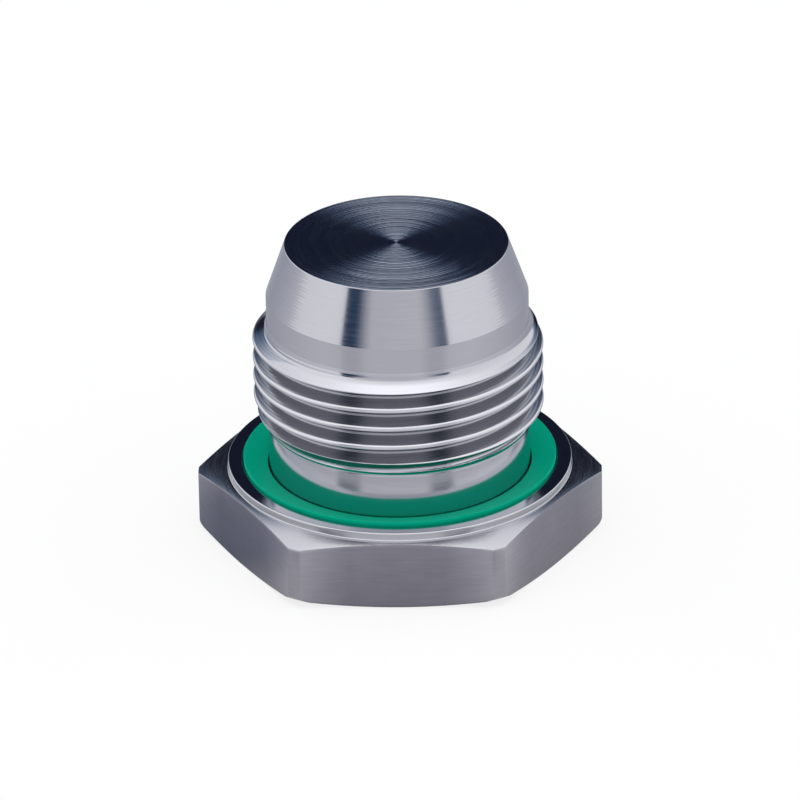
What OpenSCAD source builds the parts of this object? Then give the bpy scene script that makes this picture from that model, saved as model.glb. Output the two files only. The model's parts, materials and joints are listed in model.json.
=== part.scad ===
// Screw-in closure plug for a G1 port: a one-piece stainless body and a loose seal ring.
// The axis is +Z, from the outer face of the head (z = 0) to the end of the nose.
// The plug stands on its head, and one flat of the hexagon faces -Y.

/* [Hexagon head] */
// Width across the flats, for a 41 mm spanner
hex_af = 41; // [40.5:0.5:46]
// Thickness of the head
head_h = 8.25; // [6.5:0.25:16]
// Depth turned off each of the six corners
corner_cut = 0.42; // [0.2:0.02:0.8]
// Angle of the turned chamfers on both end faces
head_chamfer_a = 15; // [10:1:30]
// Radial width of those chamfers at the middle of a flat
head_chamfer_w = 0.55; // [0.2:0.05:0.6]

/* [Collar and seal groove] */
// Diameter of the round collar that seats on the port
collar_d = 39.6; // [38.8:0.1:40]
// Height of the collar above the head
collar_h = 0.9; // [0.5:0.05:3]
// Edge break around the collar
collar_break = 0.2; // [0.1:0.05:0.4]
// Radius of the fillet between the collar and the head
collar_fillet_r = 0.13; // [0.05:0.01:0.14]
// Radial width of the seal groove, from the neck to its outer wall
groove_w = 3.12; // [2.4:0.02:3.6]
// Depth of the seal groove below the face of the collar
groove_depth = 1.75; // [1.2:0.05:2.4]

/* [Seal ring] */
// Gap between the ring and both walls of its groove
ring_gap = 0.15; // [0.05:0.05:0.3]
// Height of the ring at its outer lip
ring_lip_h = 2.22; // [1.9:0.02:2.8]
// Fall of the sloping top from the lip to the bore
ring_slope_h = 0.78; // [0.2:0.02:1]

/* [Thread] */
// Major diameter of the parallel pipe thread
thread_d = 33.249; // [32.5:0.001:33.6]
// Pitch of the thread
pitch = 2.309; // [2.1:0.001:2.6]
// Length of full thread between its two chamfers
thread_l = 8.68; // [6:0.01:16]
// Angle of the lead chamfer to the end face
lead_a = 30; // [20:1:45]
// Angle of the bevel behind the thread, measured from the axis
back_a = 40; // [30:1:50]
// Width of the thin land that ends that bevel
back_land = 0.22; // [0.1:0.02:0.5]

/* [Neck and nose] */
// Depth of the smooth neck below the roots of the thread
neck_under = 0.12; // [0.1:0.01:0.4]
// Length of the neck from the face of the collar to its fillet
neck_l = 4.7; // [3:0.1:10]
// Radius of the fillet between the neck and the thread
neck_fillet_r = 1.2; // [0.6:0.1:1.3]
// Depth of the plain band in front of the thread below its roots
band_under = 0.15; // [0.1:0.01:0.6]
// Length of the plain band
band_l = 2.96; // [2:0.02:10]
// Radius of the fillet between the band and the lead chamfer
band_fillet_r = 1.6; // [0.5:0.1:2]
// Length of the tapered nose
cone_l = 6.35; // [3:0.05:8]
// Angle of the taper to the axis
cone_a = 19; // [10:0.5:30]
// Edge break around the end face
end_break = 0.13; // [0.05:0.01:0.4]

/* [Hidden] */

steel = [0.72, 0.72, 0.75];
green = [0.0, 0.52, 0.42];
round_fn = 96;
fillet_steps = 5;

// Hexagon: the corners stand half a side's angle away from the middles of the flats
half_side_a = 30;
hex_r = hex_af / 2;
hex_corner_r = hex_r / cos(half_side_a);
corner_r = hex_corner_r - corner_cut;
chamfer_r = hex_r - head_chamfer_w;
chamfer_h = (corner_r - chamfer_r) * tan(head_chamfer_a);

// Collar and groove, with the turned shank reaching a little way into the head
root_in = 0.2;
collar_r = collar_d / 2;
collar_foot_r = collar_r + collar_fillet_r;
face_z = head_h + collar_h;
groove_z = face_z - groove_depth;

// Whitworth form: a 55 degree V whose crests and roots are rounded off by a sixth of its height
flank_a = 27.5;
v_height = pitch / (2 * tan(flank_a));
thread_depth = v_height * 2 / 3;
round_r = v_height / 6 / (1 / sin(flank_a) - 1);
major_r = thread_d / 2;
minor_r = major_r - thread_depth;

// Neck, its fillet, which turns outward by this angle, then a thin land and the bevel up to the thread
back_fillet_a = 50;
land_step = 0.03;
neck_r = minor_r - neck_under;
fillet_z = face_z + neck_l;
land_r = neck_r + neck_fillet_r * (1 - cos(back_fillet_a)) + land_step;
land_z = fillet_z + neck_fillet_r * sin(back_fillet_a);
bevel_z = land_z + back_land;
thread_z = bevel_z + (major_r - land_r) / tan(back_a);

// Lead chamfer, which falls to the band through a concave fillet, then the taper
nose_r = minor_r - band_under;
lead_z = thread_z + thread_l;
lead_turn = 90 - lead_a;
lead_foot_r = nose_r + band_fillet_r * (1 - cos(lead_turn));
lead_foot_z = lead_z + (major_r - lead_foot_r) * tan(lead_a);
band_z = lead_foot_z + band_fillet_r * sin(lead_turn);
cone_z = band_z + band_l;
end_z = cone_z + cone_l;
end_r = nose_r - (cone_l - end_break) * tan(cone_a) - end_break;

// Seal groove, and the ring that lies loose in it
groove_r = neck_r + groove_w;
ring_r = groove_r - ring_gap;
ring_bore_r = neck_r + ring_gap;

// Thread groove: its section is swept around the axis in short steps, past both ends of the thread
turn_steps = 40;
root_steps = 4;
crest_land = pitch / 9;
mouth_h = (pitch - crest_land) / 2;
crest_drop = 0.02;
overcut = 0.5;
run_out = pitch / 4;
front_a = -90;

// Height at which the middle of a root passes the front, as a part of the pitch above the bevel
root_phase = 0.35;
front_root_z = thread_z + root_phase * pitch;

// Points of an arc around [x, y], from angle a0 to a1 in n steps
function arc(x, y, r, a0, a1, n) =
    [for (i = [0:n]) [x + r * cos(a0 + (a1 - a0) * i / n), y + r * sin(a0 + (a1 - a0) * i / n)]];

// Hexagon with its corners turned round and both end faces chamfered, as radius and height
head_turning = [
    [0, 0],
    [chamfer_r, 0],
    [corner_r, chamfer_h],
    [corner_r, head_h - chamfer_h],
    [chamfer_r, head_h],
    [0, head_h],
];

// Turned shape above the head: collar, neck, thread blank and nose
shank_outline = concat(
    [[0, head_h - root_in], [collar_foot_r, head_h - root_in]],
    arc(collar_foot_r, head_h + collar_fillet_r, collar_fillet_r, 270, 180, fillet_steps),
    [[collar_r, face_z - collar_break], [collar_r - collar_break, face_z], [neck_r, face_z]],
    arc(neck_r + neck_fillet_r, fillet_z, neck_fillet_r, 180, 180 - back_fillet_a, fillet_steps),
    [[land_r, land_z], [land_r, bevel_z], [major_r, thread_z], [major_r, lead_z]],
    arc(nose_r + band_fillet_r, band_z, band_fillet_r, 180 + lead_turn, 180, fillet_steps),
    [[nose_r, cone_z]],
    [[end_r + end_break, end_z - end_break], [end_r, end_z], [0, end_z]]
);

// Section of the thread groove, as radius and height above the middle of its root
root_round = arc(minor_r + round_r, 0, round_r, 270 - flank_a, 90 + flank_a, root_steps);
flank_top_r = major_r - round_r * (1 - sin(flank_a));
flank_l = flank_top_r - minor_r - round_r * (1 - sin(flank_a));
flank_top_h = flank_l * tan(flank_a) + round_r * cos(flank_a);
groove_section = concat(
    [[major_r + overcut, -mouth_h], [major_r - crest_drop, -mouth_h], [flank_top_r, -flank_top_h]],
    root_round,
    [[flank_top_r, flank_top_h], [major_r - crest_drop, mouth_h], [major_r + overcut, mouth_h]]
);

module thread_groove() {
    n = len(groove_section);
    first = floor((fillet_z - mouth_h - run_out - front_root_z) / pitch * turn_steps);
    last = ceil((band_z + mouth_h + run_out - front_root_z) / pitch * turn_steps);
    rings = last - first;
    points = [
        for (i = [first:last]) let (a = 360 * i / turn_steps + front_a, z = front_root_z + pitch * i / turn_steps)
            for (p = groove_section) [p[0] * cos(a), p[0] * sin(a), z + p[1]]
    ];
    sides = [
        for (i = [0:rings - 1]) for (j = [0:n - 1]) let (k = (j + 1) % n)
            for (f = [[i * n + j, (i + 1) * n + k, i * n + k], [i * n + j, (i + 1) * n + j, (i + 1) * n + k]]) f
    ];
    start_cap = [[for (j = [0:n - 1]) j]];
    end_cap = [[for (j = [n - 1:-1:0]) rings * n + j]];
    polyhedron(points, concat(sides, start_cap, end_cap), convexity = 20);
}

module head() {
    intersection() {
        cylinder(r = hex_corner_r, h = head_h, $fn = 6);
        rotate_extrude($fn = round_fn) polygon(head_turning);
    }
}

module seal_groove() {
    translate([0, 0, groove_z]) difference() {
        cylinder(r = groove_r, h = face_z - groove_z + overcut, $fn = round_fn);
        cylinder(r = neck_r, h = face_z - groove_z + overcut, $fn = round_fn);
    }
}

module plug_body() {
    color(steel) difference() {
        union() {
            head();
            rotate_extrude($fn = round_fn) polygon(shank_outline);
        }
        seal_groove();
        thread_groove();
    }
}

module seal_ring() {
    color(green) translate([0, 0, groove_z]) rotate_extrude($fn = round_fn) polygon([
        [ring_bore_r, 0],
        [ring_r, 0],
        [ring_r, ring_lip_h],
        [ring_bore_r, ring_lip_h - ring_slope_h],
    ]);
}

plug_body();
seal_ring();
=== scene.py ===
import json
import math

import bmesh
import bpy
from mathutils import Matrix, Vector


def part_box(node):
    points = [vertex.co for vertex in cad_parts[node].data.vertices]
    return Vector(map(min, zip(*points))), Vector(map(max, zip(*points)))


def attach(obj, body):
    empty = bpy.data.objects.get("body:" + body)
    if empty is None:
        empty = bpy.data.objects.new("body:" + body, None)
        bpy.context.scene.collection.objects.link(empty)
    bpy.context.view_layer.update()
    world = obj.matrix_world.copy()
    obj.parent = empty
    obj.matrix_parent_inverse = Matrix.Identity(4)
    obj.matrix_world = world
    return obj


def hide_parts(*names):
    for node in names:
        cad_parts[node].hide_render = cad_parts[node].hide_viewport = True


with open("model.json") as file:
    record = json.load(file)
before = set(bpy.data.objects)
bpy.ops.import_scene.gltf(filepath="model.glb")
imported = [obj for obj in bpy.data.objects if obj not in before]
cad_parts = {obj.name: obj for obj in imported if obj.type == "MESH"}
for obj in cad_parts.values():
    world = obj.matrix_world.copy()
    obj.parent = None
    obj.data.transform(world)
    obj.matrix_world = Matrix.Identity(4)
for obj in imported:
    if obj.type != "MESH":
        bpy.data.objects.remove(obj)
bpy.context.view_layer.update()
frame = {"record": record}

# Camera
# A long lens looks down on the plug from the front, as in a catalogue photograph. It stands a little to one
# side of the flat in front, and the picture is rolled by a degree.
mm = 0.001
picture_px = 800
view_turn = math.radians(1.57)
view_height = math.radians(26.233)
view_roll = math.radians(0.970)
view_distance = 899 * mm
px_per_mm = 8.7325
aim = Vector((0, 0, 20 * mm))
aim_px = (398.38, 370.42)

forward = Vector((0, math.cos(view_height), -math.sin(view_height)))
upward = Vector((0, math.sin(view_height), math.cos(view_height)))
level = Vector((1, 0, 0))
across = level * math.cos(view_roll) - upward * math.sin(view_roll)
over = level * math.sin(view_roll) + upward * math.cos(view_roll)
shift_x = (aim_px[0] - picture_px / 2) / px_per_mm * mm
shift_y = (picture_px / 2 - aim_px[1]) / px_per_mm * mm
turn = Matrix.Rotation(view_turn, 3, "Z")
place = turn @ (aim - across * shift_x - over * shift_y - forward * view_distance)
facing = turn @ Matrix((across, over, -forward)).transposed()

lens = bpy.data.cameras.new("catalogue_lens")
lens.sensor_width = 36
lens.lens = px_per_mm * view_distance / mm * lens.sensor_width / picture_px
lens.clip_start = 0.05
lens.clip_end = 50
camera = bpy.data.objects.new("catalogue_camera", lens)
camera.matrix_world = Matrix.Translation(place) @ facing.to_4x4()
bpy.context.collection.objects.link(camera)
bpy.context.scene.camera = camera

# Plug body
# The plug is turned in one piece from a hexagon bar of stainless steel: head, collar, neck, thread and nose.
# The thread is cut with a single point tool, and the sealing faces are turned last with a fine feed.
mounts = {mount["name"]: mount for mount in frame["record"]["mounts"]}
turn_steps = 240
merge_gap = 0.001 * mm
edge_r = 0.05 * mm
hex_r = 20.5 * mm
head_h = 8.25 * mm
head_rim_r = 0.7 * mm
head_chamfer_a = 15
corner_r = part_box("plug_body")[1].x
chamfer_r = 19.95 * mm
chamfer_h = (corner_r - chamfer_r) * math.tan(math.radians(head_chamfer_a))
collar_r = 19.8 * mm
collar_foot = 0.13 * mm
collar_break = 0.2 * mm
face_z = mounts["collar_seat"]["pos_m"][2]
groove_r = 18.146 * mm
groove_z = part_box("seal_ring")[0].z
neck_r = 15.026 * mm

pitch = 2.309 * mm
major_r = mounts["port_thread"]["dims"]["r_mm"] * mm
flank = math.radians(27.5)
v_height = pitch / (2 * math.tan(flank))
minor_r = major_r - v_height * 2 / 3
round_r = v_height / 6 / (1 / math.sin(flank) - 1)
thread_l = mounts["port_thread"]["dims"]["length_mm"] * mm
thread_step = 0.045 * mm
thread_edge_r = 0.02 * mm
root_phase = 0.35

neck_l = 4.7 * mm
neck_end_z = face_z + neck_l
neck_fillet = 1.2 * mm
neck_fillet_a = 50
land_step = 0.03 * mm
land_l = 0.22 * mm
bevel_a = 40
land_r = neck_r + neck_fillet * (1 - math.cos(math.radians(neck_fillet_a))) + land_step
land_z = neck_end_z + neck_fillet * math.sin(math.radians(neck_fillet_a))
bevel_z = land_z + land_l
thread_z = bevel_z + (major_r - land_r) / math.tan(math.radians(bevel_a))
lead_z = thread_z + thread_l
lead_a = 30

nose_r = mounts["lead_band"]["dims"]["r_mm"] * mm
band_fillet = 1.6 * mm
lead_foot_r = nose_r + band_fillet * (1 - math.sin(math.radians(lead_a)))
lead_foot_z = lead_z + (major_r - lead_foot_r) * math.tan(math.radians(lead_a))
band_z = lead_foot_z + band_fillet * math.cos(math.radians(lead_a))
cone_z = band_z + mounts["lead_band"]["dims"]["length_mm"] * mm
cone_a = 19
end_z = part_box("plug_body")[1].z
end_break = 0.13 * mm
end_edge_r = 0.12 * mm
end_corner_share = 0.35
end_r = nose_r - (end_z - cone_z - end_break) * math.tan(math.radians(cone_a)) - end_break
end_corner_r = end_r + end_break * end_corner_share


def arc(centre_r, centre_z, radius, start, stop, steps):
    """Points of an arc in the turning outline; angles in degrees from the radial direction."""
    points = []
    for i in range(steps + 1):
        angle = math.radians(start + (stop - start) * i / steps)
        points.append((centre_r + radius * math.cos(angle), centre_z + radius * math.sin(angle)))
    return points


def broken(outline, radius, steps=3, hold=0.03 * mm):
    """Rounds each inner corner of an outline by a small radius and holds its edges on both sides."""
    points = [outline[0]]
    for before, corner, after in zip(outline, outline[1:], outline[2:]):
        corner = Vector(corner)
        back = (Vector(before) - corner).normalized()
        on = (Vector(after) - corner).normalized()
        half = back.angle(on) / 2
        reach = radius / math.tan(half)
        centre = corner + (back + on).normalized() * radius / math.sin(half)
        first = corner + back * reach - centre
        last = corner + on * reach - centre
        points.append(tuple(corner + back * (reach + hold)))
        for i in range(steps + 1):
            points.append(tuple(centre + first.lerp(last, i / steps).normalized() * radius))
        points.append(tuple(corner + on * (reach + hold)))
    points.append(outline[-1])
    return points


def turning(outline):
    """Starts a turned piece with its outline, given as radius and height."""
    shape = bmesh.new()
    chain = [shape.verts.new((r, 0, z)) for r, z in outline]
    for pair in zip(chain, chain[1:]):
        shape.edges.new(pair)
    return shape


def turn_round(shape):
    """Spins the outline once round the axis, then merges the seam and the poles."""
    bmesh.ops.spin(
        shape,
        geom=shape.verts[:] + shape.edges[:],
        cent=(0, 0, 0),
        axis=(0, 0, 1),
        dvec=(0, 0, 0),
        angle=math.tau,
        steps=turn_steps,
        use_merge=True,
        use_duplicate=False,
    )
    bmesh.ops.remove_doubles(shape, verts=shape.verts, dist=merge_gap)


def piece_from(shape, piece_name, mesh_name):
    """Makes an object at the origin from a finished shape."""
    mesh = bpy.data.meshes.new(mesh_name)
    shape.to_mesh(mesh)
    shape.free()
    piece = bpy.data.objects.new(piece_name, mesh)
    bpy.context.collection.objects.link(piece)
    return piece


outline = broken(
    [
        (0, 0),
        (chamfer_r, 0),
        (corner_r, chamfer_h),
        (corner_r, head_h / 2),
    ],
    head_rim_r,
    steps=6,
)
outline += broken(
    [
        (corner_r, head_h / 2),
        (corner_r, head_h - chamfer_h),
        (chamfer_r, head_h),
    ],
    edge_r,
)[1:]
outline += arc(collar_r + collar_foot, head_h + collar_foot, collar_foot, start=270, stop=180, steps=4)
outline += arc(collar_r - collar_break, face_z - collar_break, collar_break, start=0, stop=90, steps=6)
outline += broken(
    [
        (collar_r - collar_break - edge_r, face_z),
        (groove_r, face_z),
        (groove_r, groove_z),
        (neck_r, groove_z),
        (neck_r, face_z),
    ],
    edge_r,
)
outline += arc(neck_r + neck_fillet, neck_end_z, neck_fillet, start=180, stop=180 - neck_fillet_a, steps=8)
outline += broken(
    [
        outline[-1],
        (land_r, land_z),
        (land_r, bevel_z),
        (major_r, thread_z),
        (major_r, lead_z),
    ],
    thread_edge_r,
    steps=2,
    hold=0.01 * mm,
)[1:]
outline += arc(nose_r + band_fillet, band_z, band_fillet, start=270 - lead_a, stop=180, steps=16)
outline += broken(
    [
        outline[-1],
        (nose_r, cone_z),
        (end_corner_r, end_z),
        (0, end_z),
    ],
    end_edge_r,
    steps=5,
)[1:]

plug = turning(outline)
for link in plug.edges[:]:
    low, high = sorted(vert.co.z for vert in link.verts)
    if low > neck_end_z and high < band_z + thread_step:
        cuts = int(link.calc_length() / thread_step)
        if cuts:
            bmesh.ops.subdivide_edges(plug, edges=[link], cuts=cuts)
turn_round(plug)


def thread_radius(from_root):
    """Radius of the Whitworth form at a distance along the axis from the middle of a root."""
    from_crest = pitch / 2 - from_root
    round_end = round_r * math.cos(flank)
    if from_root < round_end:
        return minor_r + round_r - math.sqrt(round_r**2 - from_root**2)
    if from_crest < round_end:
        return major_r - round_r + math.sqrt(round_r**2 - from_crest**2)
    flank_foot = minor_r + round_r * (1 - math.sin(flank))
    return flank_foot + (from_root - round_end) / math.tan(flank)


front_root_z = thread_z + root_phase * pitch
for vert in plug.verts:
    if neck_end_z < vert.co.z < band_z:
        from_front = math.atan2(vert.co.y, vert.co.x) + math.pi / 2
        turns = (vert.co.z - front_root_z) / pitch - from_front / math.tau
        cut_r = thread_radius(abs(turns - round(turns)) * pitch)
        here_r = vert.co.xy.length
        if cut_r < here_r:
            vert.co.xy *= cut_r / here_r

# Here the flats are cut last. Each part then gets its finish by its height and its distance from the axis.
turned, faced, drawn, ground, cut, polished, collar, leading, dished = range(9)
for face in plug.faces:
    face.smooth = True
for side in range(6):
    outward = Matrix.Rotation(math.radians(60 * side + 30), 3, "Z") @ Vector((1, 0, 0))
    sliced = bmesh.ops.bisect_plane(
        plug,
        geom=plug.verts[:] + plug.edges[:] + plug.faces[:],
        dist=merge_gap / 10,
        plane_co=outward * hex_r,
        plane_no=outward,
        clear_outer=True,
    )
    rim = [part for part in sliced["geom_cut"] if isinstance(part, bmesh.types.BMEdge)]
    bmesh.ops.edgeloop_fill(plug, edges=rim, mat_nr=drawn)
    for part in rim:
        part.smooth = False
bmesh.ops.recalc_face_normals(plug, faces=plug.faces)
margin_z = 0.01 * mm
margin_r = 0.1 * mm
for face in plug.faces:
    middle = face.calc_center_median()
    height = middle.z
    reach = middle.xy.length
    neck_in_groove = groove_z < height < face_z and reach < neck_r + margin_r
    if height > end_z - margin_z:
        face.material_index = faced
    elif band_z < height < cone_z:
        face.material_index = ground
    elif face_z < height < bevel_z or neck_in_groove:
        face.material_index = polished
    elif bevel_z < height < lead_z:
        face.material_index = cut
    elif lead_z < height < band_z:
        face.material_index = leading
    elif chamfer_h < height < head_h - chamfer_h and reach > collar_r:
        face.material_index = drawn
    elif height < head_h - margin_z:
        face.material_index = dished
    elif height < face_z + margin_z and reach > groove_r - margin_r:
        face.material_index = collar
plug_object = piece_from(plug, "turned_plug", "plug_body")


def wire(tree, socket, value):
    """Links a socket to another one, or sets its own value."""
    if isinstance(value, bpy.types.NodeSocket):
        tree.links.new(value, socket)
    elif value is not None:
        socket.default_value = value


def math_node(tree, operation, one, other=None):
    """Arithmetic on numbers."""
    node = tree.nodes.new("ShaderNodeMath")
    node.operation = operation
    wire(tree, node.inputs[0], one)
    wire(tree, node.inputs[1], other)
    return node.outputs[0]


def vector_node(tree, operation, one, other=None, scale=None):
    """Arithmetic on vectors."""
    node = tree.nodes.new("ShaderNodeVectorMath")
    node.operation = operation
    wire(tree, node.inputs[0], one)
    wire(tree, node.inputs[1], other)
    if operation == "SCALE":
        wire(tree, node.inputs["Scale"], scale)
    return node.outputs["Value" if operation == "LENGTH" else "Vector"]


def remap(tree, value, low, high, to_low=0, to_high=1, kind="LINEAR"):
    """Carries a value from one range to another and holds it at both ends."""
    node = tree.nodes.new("ShaderNodeMapRange")
    node.interpolation_type = kind
    node.inputs["From Min"].default_value = low
    node.inputs["From Max"].default_value = high
    node.inputs["To Min"].default_value = to_low
    node.inputs["To Max"].default_value = to_high
    wire(tree, node.inputs["Value"], value)
    return node.outputs["Result"]


def noise(tree, vector, scale, detail):
    """Fine noise on a vector."""
    node = tree.nodes.new("ShaderNodeTexNoise")
    node.inputs["Scale"].default_value = scale
    node.inputs["Detail"].default_value = detail
    wire(tree, node.inputs["Vector"], vector)
    return node.outputs["Fac"]


def blend(tree, kind, share, one, other):
    """Mixes two colours."""
    mix = tree.nodes.new("ShaderNodeMix")
    mix.data_type = "RGBA"
    mix.blend_type = kind
    wire(tree, mix.inputs["Factor"], share)
    wire(tree, mix.inputs["A"], one)
    wire(tree, mix.inputs["B"], other)
    return mix.outputs["Result"]


def coordinates(tree, kind="Object"):
    """A place on the piece or a direction in the studio, whole and as three numbers."""
    whole = tree.nodes.new("ShaderNodeTexCoord").outputs[kind]
    parts = tree.nodes.new("ShaderNodeSeparateXYZ")
    wire(tree, parts.inputs[0], whole)
    return whole, parts.outputs


def from_axis(tree, whole):
    """Distance from the plug's axis."""
    return vector_node(tree, "LENGTH", vector_node(tree, "MULTIPLY", whole, (1, 1, 0)))


def metal(name):
    """A bare metal, with its nodes and its shader."""
    material = bpy.data.materials.new(name)
    material.use_nodes = True
    shader = material.node_tree.nodes["Principled BSDF"]
    shader.inputs["Metallic"].default_value = 1
    return material, material.node_tree, shader


def steel(name, colour, roughness, tilt, feed, waver, scratch, square=1, crest=None, dish=0):
    """Turned steel: feed marks and scratches run round the axis and tilt the surface across them.

    Tilt is the marks' own lean and dish a lean that is the same all over, both in degrees. Feed is half the
    spacing of the marks, and a square above 1 makes them steeper. Waver and scratch are the slopes of the
    wide and the fine streaks. A crest is two radii and the colour that the steel is rubbed to between them.
    """
    material, tree, shader = metal(name)
    whole, parts = coordinates(tree)
    normal = tree.nodes.new("ShaderNodeTexCoord").outputs["Normal"]
    radius = from_axis(tree, whole)
    travel = math_node(tree, "ADD", radius, parts["Z"])

    def streaks(around, across, detail):
        """Noise that is drawn out round the axis."""
        lay = tree.nodes.new("ShaderNodeCombineXYZ")
        wire(tree, lay.inputs["X"], math_node(tree, "MULTIPLY", parts["X"], around))
        wire(tree, lay.inputs["Y"], math_node(tree, "MULTIPLY", parts["Y"], around))
        wire(tree, lay.inputs["Z"], math_node(tree, "MULTIPLY", travel, across))
        return noise(tree, lay.outputs[0], 1, detail)

    wide = streaks(around=40, across=1800, detail=1)
    fine = streaks(around=250, across=9000, detail=2)
    wander = 3
    marks = math_node(tree, "DIVIDE", travel, feed)
    marks = math_node(tree, "ADD", marks, math_node(tree, "MULTIPLY", wide, wander))
    saw = math_node(tree, "MULTIPLY", math_node(tree, "PINGPONG", marks, 1), 2 * square)
    saw = math_node(tree, "SUBTRACT", saw, square)
    saw = math_node(tree, "MAXIMUM", math_node(tree, "MINIMUM", saw, 1), -1)
    lean = math_node(tree, "MULTIPLY", saw, math.tan(math.radians(tilt)))
    lean = math_node(tree, "ADD", lean, math.tan(math.radians(dish)))
    for streak, slope in ((wide, waver), (fine, scratch)):
        sway = math_node(tree, "MULTIPLY", math_node(tree, "SUBTRACT", streak, 0.5), slope)
        lean = math_node(tree, "ADD", lean, sway)
    around = vector_node(tree, "NORMALIZE", vector_node(tree, "CROSS_PRODUCT", (0, 0, 1), whole))
    across = vector_node(tree, "CROSS_PRODUCT", around, normal)
    leaning = vector_node(tree, "ADD", normal, vector_node(tree, "SCALE", across, scale=lean))
    outward = tree.nodes.new("ShaderNodeVectorTransform")
    outward.vector_type = "NORMAL"
    outward.convert_from = "OBJECT"
    outward.convert_to = "WORLD"
    wire(tree, outward.inputs[0], leaning)
    wire(tree, shader.inputs["Normal"], vector_node(tree, "NORMALIZE", outward.outputs[0]))

    gloss = remap(tree, fine, 0.3, 0.7, roughness * 0.8, roughness * 1.2)
    wire(tree, shader.inputs["Roughness"], gloss)
    darker = (*[c * 0.94 for c in colour], 1)
    lighter = (*[c * 1.06 for c in colour], 1)
    shade = blend(tree, "MIX", fine, darker, lighter)
    if crest:
        crest_low_r, crest_high_r, crest_colour = crest
        rubbed = remap(tree, radius, crest_low_r, crest_high_r)
        shade = blend(tree, "MIX", rubbed, shade, (*crest_colour, 1))
    wire(tree, shader.inputs["Base Color"], shade)
    return material


# The flats and corners keep the dull skin of the bar: grey, with fine level streaks, and rubbed bright at the
# corners. They are painted darker towards the foot: painted shade for the shaded board that they mirror
# there.
flats, flat_tree, flat_shader = metal("drawn_steel")
flat_place, flat_parts = coordinates(flat_tree)
flat_stretch = flat_tree.nodes.new("ShaderNodeMapping")
flat_stretch.inputs["Scale"].default_value = (300, 300, 3500)
wire(flat_tree, flat_stretch.inputs["Vector"], flat_place)
flat_streak = noise(flat_tree, flat_stretch.outputs[0], 1, detail=4)
flat_cloud = noise(flat_tree, flat_place, 220, detail=3)
flat_rub = remap(flat_tree, from_axis(flat_tree, flat_place), 21.2 * mm, 23.2 * mm)
flat_base = blend(flat_tree, "MIX", flat_rub, (0.255, 0.25, 0.29, 1), (0.40, 0.39, 0.43, 1))
flat_tone = remap(flat_tree, math_node(flat_tree, "ADD", flat_streak, flat_cloud), 0.6, 1.4, 0.9, 1.1)
# Painted shade: darker towards the foot, for the shaded board near the plug that the flats mirror.
flat_foot_painted_shade = remap(flat_tree, flat_parts["Z"], 0, head_h, 0.78, 1.08)
flat_shade = math_node(flat_tree, "MULTIPLY", flat_tone, flat_foot_painted_shade)
flat_colour = vector_node(flat_tree, "SCALE", flat_base, scale=flat_shade)
wire(flat_tree, flat_shader.inputs["Base Color"], flat_colour)
wire(flat_tree, flat_shader.inputs["Roughness"], remap(flat_tree, flat_cloud, 0, 1, 0.3, 0.42))
flat_round = flat_tree.nodes.new("ShaderNodeBevel")
flat_round.inputs["Radius"].default_value = 0.6 * mm
flat_bump = flat_tree.nodes.new("ShaderNodeBump")
flat_bump.inputs["Strength"].default_value = 0.25
flat_bump.inputs["Distance"].default_value = 0.01 * mm
wire(flat_tree, flat_bump.inputs["Normal"], flat_round.outputs["Normal"])
wire(flat_tree, flat_bump.inputs["Height"], flat_streak)
wire(flat_tree, flat_shader.inputs["Normal"], flat_bump.outputs["Normal"])

taper_steel = (0.53, 0.53, 0.575)
crest_rub = (major_r - 0.25 * mm, major_r - 0.08 * mm, (0.68, 0.68, 0.72))
finishes = {
    turned: steel("turned_steel", taper_steel, roughness=0.13, tilt=0.6, feed=0.11 * mm,
                  waver=0, scratch=0.08),
    faced: steel("faced_end", (0.49, 0.545, 0.66), roughness=0.15, tilt=13.8, feed=0.13 * mm,
                 waver=0.11, scratch=0.05, square=1.6),
    drawn: flats,
    ground: steel("ground_band", (0.47, 0.47, 0.51), roughness=0.2, tilt=4, feed=0.09 * mm,
                  waver=0.03, scratch=0.05),
    cut: steel("threaded_steel", (0.355, 0.36, 0.395), roughness=0.22, tilt=2, feed=0.08 * mm,
               waver=0.02, scratch=0.08, crest=crest_rub),
    polished: steel("polished_neck", (0.56, 0.57, 0.615), roughness=0.11, tilt=0.5, feed=0.05 * mm,
                    waver=0.01, scratch=0.025),
    collar: steel("turned_collar", (0.52, 0.525, 0.56), roughness=0.13, tilt=2, feed=0.05 * mm,
                  waver=0.005, scratch=0.025),
    leading: steel("lead_chamfer", taper_steel, roughness=0.12, tilt=0.5, feed=0.08 * mm,
                   waver=0, scratch=0.025),
    dished: steel("head_chamfer", (0.47, 0.47, 0.505), roughness=0.2, tilt=2.5, feed=0.06 * mm,
                  waver=0.005, scratch=0.02, dish=9),
}
for index in sorted(finishes):
    plug_object.data.materials.append(finishes[index])
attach(plug_object, "root")
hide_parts("plug_body")

# Seal ring
# The ring is moulded in green fluoroelastomer. It lies loose in the groove around the neck, its lip stands
# proud of the collar, and its top slopes down to the neck.
ring_low, ring_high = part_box("seal_ring")
ring_r = ring_high.x
ring_gap = 0.15 * mm
ring_bore_r = neck_r + ring_gap
ring_slope = 0.78 * mm
ring_edge_r = 0.08 * mm
ring_middle_z = (ring_low.z + ring_high.z) / 2
ring_outline = broken(
    [
        (ring_bore_r, ring_middle_z),
        (ring_bore_r, ring_low.z),
        (ring_r, ring_low.z),
        (ring_r, ring_high.z),
        (ring_bore_r, ring_high.z - ring_slope),
        (ring_bore_r, ring_middle_z),
    ],
    ring_edge_r,
    steps=4,
)
ring = turning(ring_outline)
turn_round(ring)
bmesh.ops.recalc_face_normals(ring, faces=ring.faces)
for face in ring.faces:
    face.smooth = True
ring_object = piece_from(ring, "moulded_ring", "seal_ring")

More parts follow.
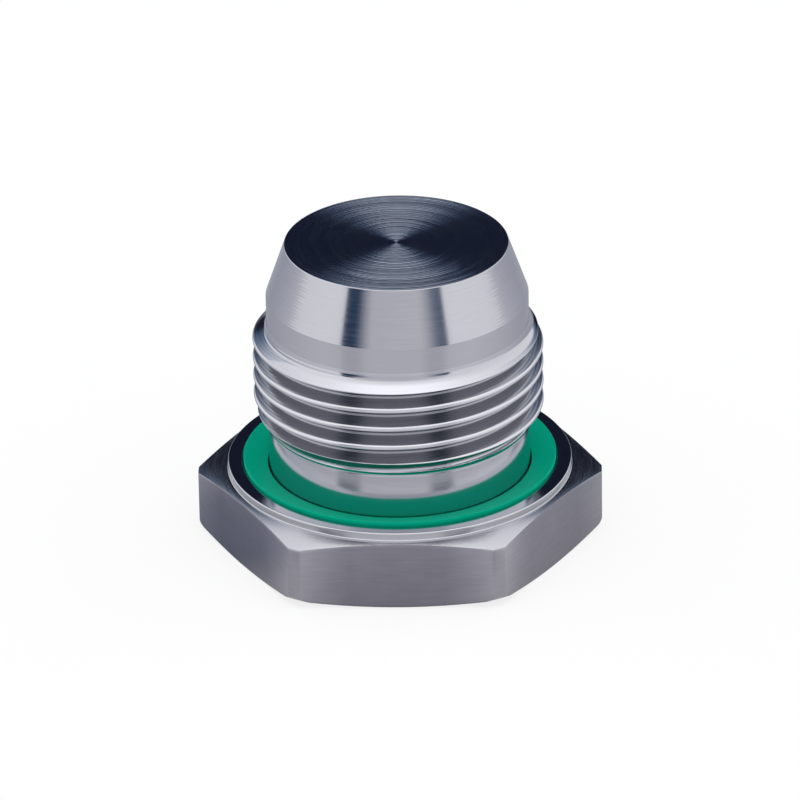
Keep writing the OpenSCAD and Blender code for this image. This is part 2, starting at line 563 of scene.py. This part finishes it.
rubber = bpy.data.materials.new("green_elastomer")
rubber.use_nodes = True
rubber_tree = rubber.node_tree
rubber_shader = rubber_tree.nodes["Principled BSDF"]
rubber_shader.inputs["Roughness"].default_value = 0.45
rubber_shader.inputs["Specular IOR Level"].default_value = 0.03
rubber_place = rubber_tree.nodes.new("ShaderNodeTexCoord").outputs["Object"]
rubber_grain = noise(rubber_tree, rubber_place, 900, detail=2)
rubber_tone = blend(rubber_tree, "MIX", rubber_grain, (0.0, 0.375, 0.225, 1), (0.0, 0.41, 0.255, 1))
wire(rubber_tree, rubber_shader.inputs["Base Color"], rubber_tone)
ring_object.data.materials.append(rubber)
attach(ring_object, "root")
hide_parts("seal_ring")

# Floor
# A wide sheet of white board carries the plug. It is a stand-in for the photographer's table.
board_r = 12
floor = bmesh.new()
bmesh.ops.create_circle(floor, cap_ends=True, radius=board_r, segments=96)
floor_object = piece_from(floor, "white_board", "white_board")
board = bpy.data.materials.new("white_board")
board.use_nodes = True
board_tree = board.node_tree
board_tree.nodes.remove(board_tree.nodes["Principled BSDF"])
board_matt = board_tree.nodes.new("ShaderNodeBsdfDiffuse")
board_matt.inputs["Color"].default_value = (0.9, 0.9, 0.9, 1)
board_path = board_tree.nodes.new("ShaderNodeLightPath").outputs
board_place, board_parts = coordinates(board_tree)
board_ahead = math_node(board_tree, "MULTIPLY", board_parts["Y"], -1)
board_bearing = math_node(board_tree, "ARCTAN2", board_parts["X"], board_ahead)
board_turn = math_node(board_tree, "ADD", math_node(board_tree, "DIVIDE", board_bearing, math.tau), 0.5)
board_reach_mm = 100
board_reach = math_node(board_tree, "DIVIDE", from_axis(board_tree, board_place), board_reach_mm * mm)


def ramp(tree, value, low, high, stops):
    """Colours along a value that runs from 0 to 1.

    Low and high are what its two ends stand for. Each stop is a place between them, then a colour or a
    level of grey.
    """
    node = tree.nodes.new("ShaderNodeValToRGB")
    elements = node.color_ramp.elements
    while len(elements) < len(stops):
        elements.new(0.5)
    for element, (position, colour) in zip(elements, stops):
        element.position = (position - low) / (high - low)
        element.color = (*colour, 1) if isinstance(colour, tuple) else (colour, colour, colour, 1)
    wire(tree, node.inputs["Fac"], value)
    return node.outputs["Color"]


def around_board(stops):
    """Colours by the bearing from the plug, in degrees to the right of the front."""
    return ramp(board_tree, board_turn, -180, 180, stops)


def along_board(stops):
    """Colours by the distance from the plug's axis, in millimetres."""
    return ramp(board_tree, board_reach, 0, board_reach_mm, stops)


# Mirrored rays see the board glow with painted light and shade by bearing and distance from the plug: a
# painted reflection of the studio that is darker behind, with a painted dark gap on each side of the front.
board_painted_sheen = around_board([
    (-180, (0.25, 0.27, 0.31)),
    (-156, (0.43, 0.45, 0.50)),
    (-137, (0.45, 0.47, 0.53)),
    (-118, (0.56, 0.58, 0.64)),
    (-99, (0.69, 0.70, 0.75)),
    (-81, (0.77, 0.77, 0.81)),
    (-63, (0.84, 0.84, 0.87)),
    (-40, (0.82, 0.82, 0.85)),
    (0, (0.81, 0.81, 0.85)),
    (44, (0.85, 0.85, 0.88)),
    (63, (0.88, 0.88, 0.91)),
    (81, (0.81, 0.81, 0.85)),
    (99, (0.73, 0.74, 0.78)),
    (118, (0.59, 0.60, 0.66)),
    (137, (0.48, 0.49, 0.55)),
    (156, (0.43, 0.45, 0.50)),
    (180, (0.25, 0.27, 0.31)),
])
# Painted shade: a dark gap on each side of the front, as the steel mirrors it.
board_painted_gaps = around_board([(-46, 0), (-42, 1), (-30, 1), (-24, 0), (20, 0), (26, 1), (37, 1), (42, 0)])
# Close to the plug the painted sheen is darker on the left front: painted shade that the flats mirror.
board_near = around_board([
    (-180, 0.8),
    (-115, 0.7),
    (-90, (0.46, 0.49, 0.57)),
    (-66, (0.44, 0.47, 0.56)),
    (-45, 0.9),
    (-28, 1),
    (0, 0.9),
    (28, 1),
    (60, 0.9),
    (180, 0.9),
])
# Painted reflection: green-blue towards the sides, as the neck mirrors the board.
board_side = around_board([
    (-125, (0.33, 0.5, 0.55)),
    (-105, (0.7, 0.76, 0.78)),
    (-75, 0.85),
    (0, 1),
    (75, 0.9),
    (105, (0.68, 0.76, 0.78)),
    (125, (0.36, 0.5, 0.55)),
])
board_depth = along_board([
    (31, 0),
    (34.5, 0.45),
    (35.2, 0.9),
    (36.6, 0.9),
    (37.1, 0.1),
    (44, 0.15),
    (47, 0.4),
    (60, 0.2),
    (100, 0.2),
])
board_close = along_board([(33, 1), (37, 0)])
# From about 37 to 47 mm the painted sheen is dimmed: a painted reflection that the neck mirrors.
board_dim = along_board([(36.2, 1), (36.8, 0.72), (44.5, 0.72), (47, 1)])
board_low = along_board([(36.8, 0), (37.6, 1), (44.5, 1), (47, 0)])

# A ray that has met the steel twice meets deeper painted gaps and no painted dimming.
white = (1, 1, 1, 1)
painted_gap_shade = (0, 0.05, 0.1, 1)
past_first = 1.5
deeper_share = 0.85
board_again = math_node(board_tree, "GREATER_THAN", board_path["Ray Depth"], past_first)
board_again_share = math_node(board_tree, "MULTIPLY", board_again, deeper_share)
board_depth = blend(board_tree, "MIX", board_again_share, board_depth, white)
board_dim = blend(board_tree, "MULTIPLY", board_low, board_dim, board_side)
board_dim = blend(board_tree, "MIX", board_again, board_dim, white)
board_share = blend(board_tree, "MULTIPLY", 1, board_painted_gaps, board_depth)
board_painted_sheen = blend(board_tree, "MULTIPLY", board_share, board_painted_sheen, painted_gap_shade)
board_painted_sheen = blend(board_tree, "MULTIPLY", board_close, board_painted_sheen, board_near)
board_painted_sheen = blend(board_tree, "MULTIPLY", 1, board_painted_sheen, board_dim)
# The painted sheen glows on the board for mirrored rays, though the board is no lamp.
board_painted_glow = board_tree.nodes.new("ShaderNodeEmission")
wire(board_tree, board_painted_glow.inputs["Color"], board_painted_sheen)

# The camera sees white, with a faint shadow of the plug on it.
by_camera = board_path["Is Camera Ray"]
by_gloss = board_path["Is Glossy Ray"]
by_glass = board_path["Is Transmission Ray"]
camera_white = 0.8
board_white = board_tree.nodes.new("ShaderNodeEmission")
board_seen = board_tree.nodes.new("ShaderNodeMixShader")
wire(board_tree, board_seen.inputs["Fac"], by_camera)
wire(board_tree, board_seen.inputs[1], board_painted_glow.outputs[0])
wire(board_tree, board_seen.inputs[2], board_white.outputs[0])
board_mirrored = math_node(board_tree, "MAXIMUM", by_gloss, by_glass)
board_plain = math_node(board_tree, "MULTIPLY", by_camera, camera_white)
board_mix = board_tree.nodes.new("ShaderNodeMixShader")
wire(board_tree, board_mix.inputs["Fac"], math_node(board_tree, "MAXIMUM", board_mirrored, board_plain))
wire(board_tree, board_mix.inputs[1], board_matt.outputs[0])
wire(board_tree, board_mix.inputs[2], board_seen.outputs[0])
wire(board_tree, board_tree.nodes["Material Output"].inputs["Surface"], board_mix.outputs[0])
floor_object.data.materials.append(board)

# Studio light
# A tent of white cloth lights the plug from above and both sides. The studio behind it is dark, and two
# gaps stand beside the pale card in front.
studio = bpy.data.worlds.new("studio")
bpy.context.scene.world = studio
studio.use_nodes = True
studio_tree = studio.node_tree
studio_strength = 2
studio_parts = coordinates(studio_tree, "Generated")[1]
rise = studio_parts["Z"]
ahead = math_node(studio_tree, "MULTIPLY", studio_parts["Y"], -1)
beside = math_node(studio_tree, "ABSOLUTE", studio_parts["X"])

tent = ramp(studio_tree, rise, 0, 1, [
    (0.0, (0.53, 0.53, 0.535)),
    (0.3, (0.55, 0.55, 0.555)),
    (0.64, (0.58, 0.58, 0.585)),
    (0.82, (0.64, 0.64, 0.645)),
    (0.90, (0.70, 0.70, 0.705)),
    (0.95, (0.79, 0.79, 0.795)),
    (1.0, (0.88, 0.88, 0.885)),
])

# The dark room shows behind the plug. It fades in from the outer to the inner of these sideways shares of a
# direction, and from the top to the full one of the upward shares.
room_outer = 0.545
room_inner = 0.36
room_top = 0.79
room_full = 0.655
room_side = remap(studio_tree, beside, room_outer, room_inner)
room_rise = remap(studio_tree, rise, room_top, room_full)
behind = remap(studio_tree, ahead, 0.001, 0)
room = math_node(studio_tree, "MULTIPLY", room_side, room_rise)
room = math_node(studio_tree, "MULTIPLY", room, behind)
dark_room = ramp(studio_tree, room, 0, 1, [
    (0.0, (1, 1, 1)),
    (0.17, (0.85, 0.88, 0.92)),
    (0.28, (0.56, 0.60, 0.67)),
    (0.53, (0.18, 0.24, 0.33)),
    (0.70, (0.12, 0.17, 0.26)),
    (0.89, (0.06, 0.10, 0.16)),
    (1.0, (0.009, 0.012, 0.026)),
])
tent = blend(studio_tree, "MULTIPLY", 1, tent, dark_room)

# The card in front and its gaps go by the bearing from the front, in degrees. Higher up the gaps fade out,
# and higher still the card does.
card_a = 60
gaps_fade_a = 17
gaps_gone_a = 21
card_fade_a = 32
card_gone_a = 40
bearing = math_node(studio_tree, "ARCTAN2", studio_parts["X"], ahead)
front_turn = remap(studio_tree, bearing, math.radians(-card_a), math.radians(card_a))
front = ramp(studio_tree, front_turn, -card_a, card_a, [
    (-48, (0.54, 0.54, 0.545)),
    (-46.5, (0.008, 0.025, 0.055)),
    (-36.5, (0.008, 0.025, 0.055)),
    (-33.5, (0.035, 0.06, 0.09)),
    (-28.5, (0.20, 0.20, 0.235)),
    (-22, (0.36, 0.36, 0.385)),
    (0, (0.37, 0.37, 0.39)),
    (22, (0.38, 0.38, 0.39)),
    (28.5, (0.27, 0.275, 0.30)),
    (35, (0.12, 0.135, 0.17)),
    (40, (0.055, 0.075, 0.11)),
    (44, (0.055, 0.075, 0.11)),
    (45.5, (0.54, 0.54, 0.545)),
])
front_high = ramp(studio_tree, front_turn, -card_a, card_a, [
    (-48, (0.54, 0.54, 0.545)),
    (-38, (0.42, 0.42, 0.435)),
    (0, (0.38, 0.38, 0.40)),
    (38, (0.42, 0.42, 0.435)),
    (48, (0.54, 0.54, 0.545)),
])
gaps_fade_rise = math.sin(math.radians(gaps_fade_a))
gaps_gone_rise = math.sin(math.radians(gaps_gone_a))
card_fade_rise = math.sin(math.radians(card_fade_a))
card_gone_rise = math.sin(math.radians(card_gone_a))
front = blend(studio_tree, "MIX", remap(studio_tree, rise, gaps_fade_rise, gaps_gone_rise), front, front_high)
below = remap(studio_tree, rise, card_gone_rise, card_fade_rise, kind="SMOOTHSTEP")
facing_front = remap(studio_tree, ahead, 0.3, 0.301)
in_front = math_node(studio_tree, "MULTIPLY", below, facing_front)
tent = blend(studio_tree, "MIX", in_front, tent, front)
studio_background = studio_tree.nodes["Background"]
studio_background.inputs["Strength"].default_value = studio_strength
wire(studio_tree, studio_background.inputs["Color"], tent)

bpy.context.scene.view_settings.view_transform = "Standard"
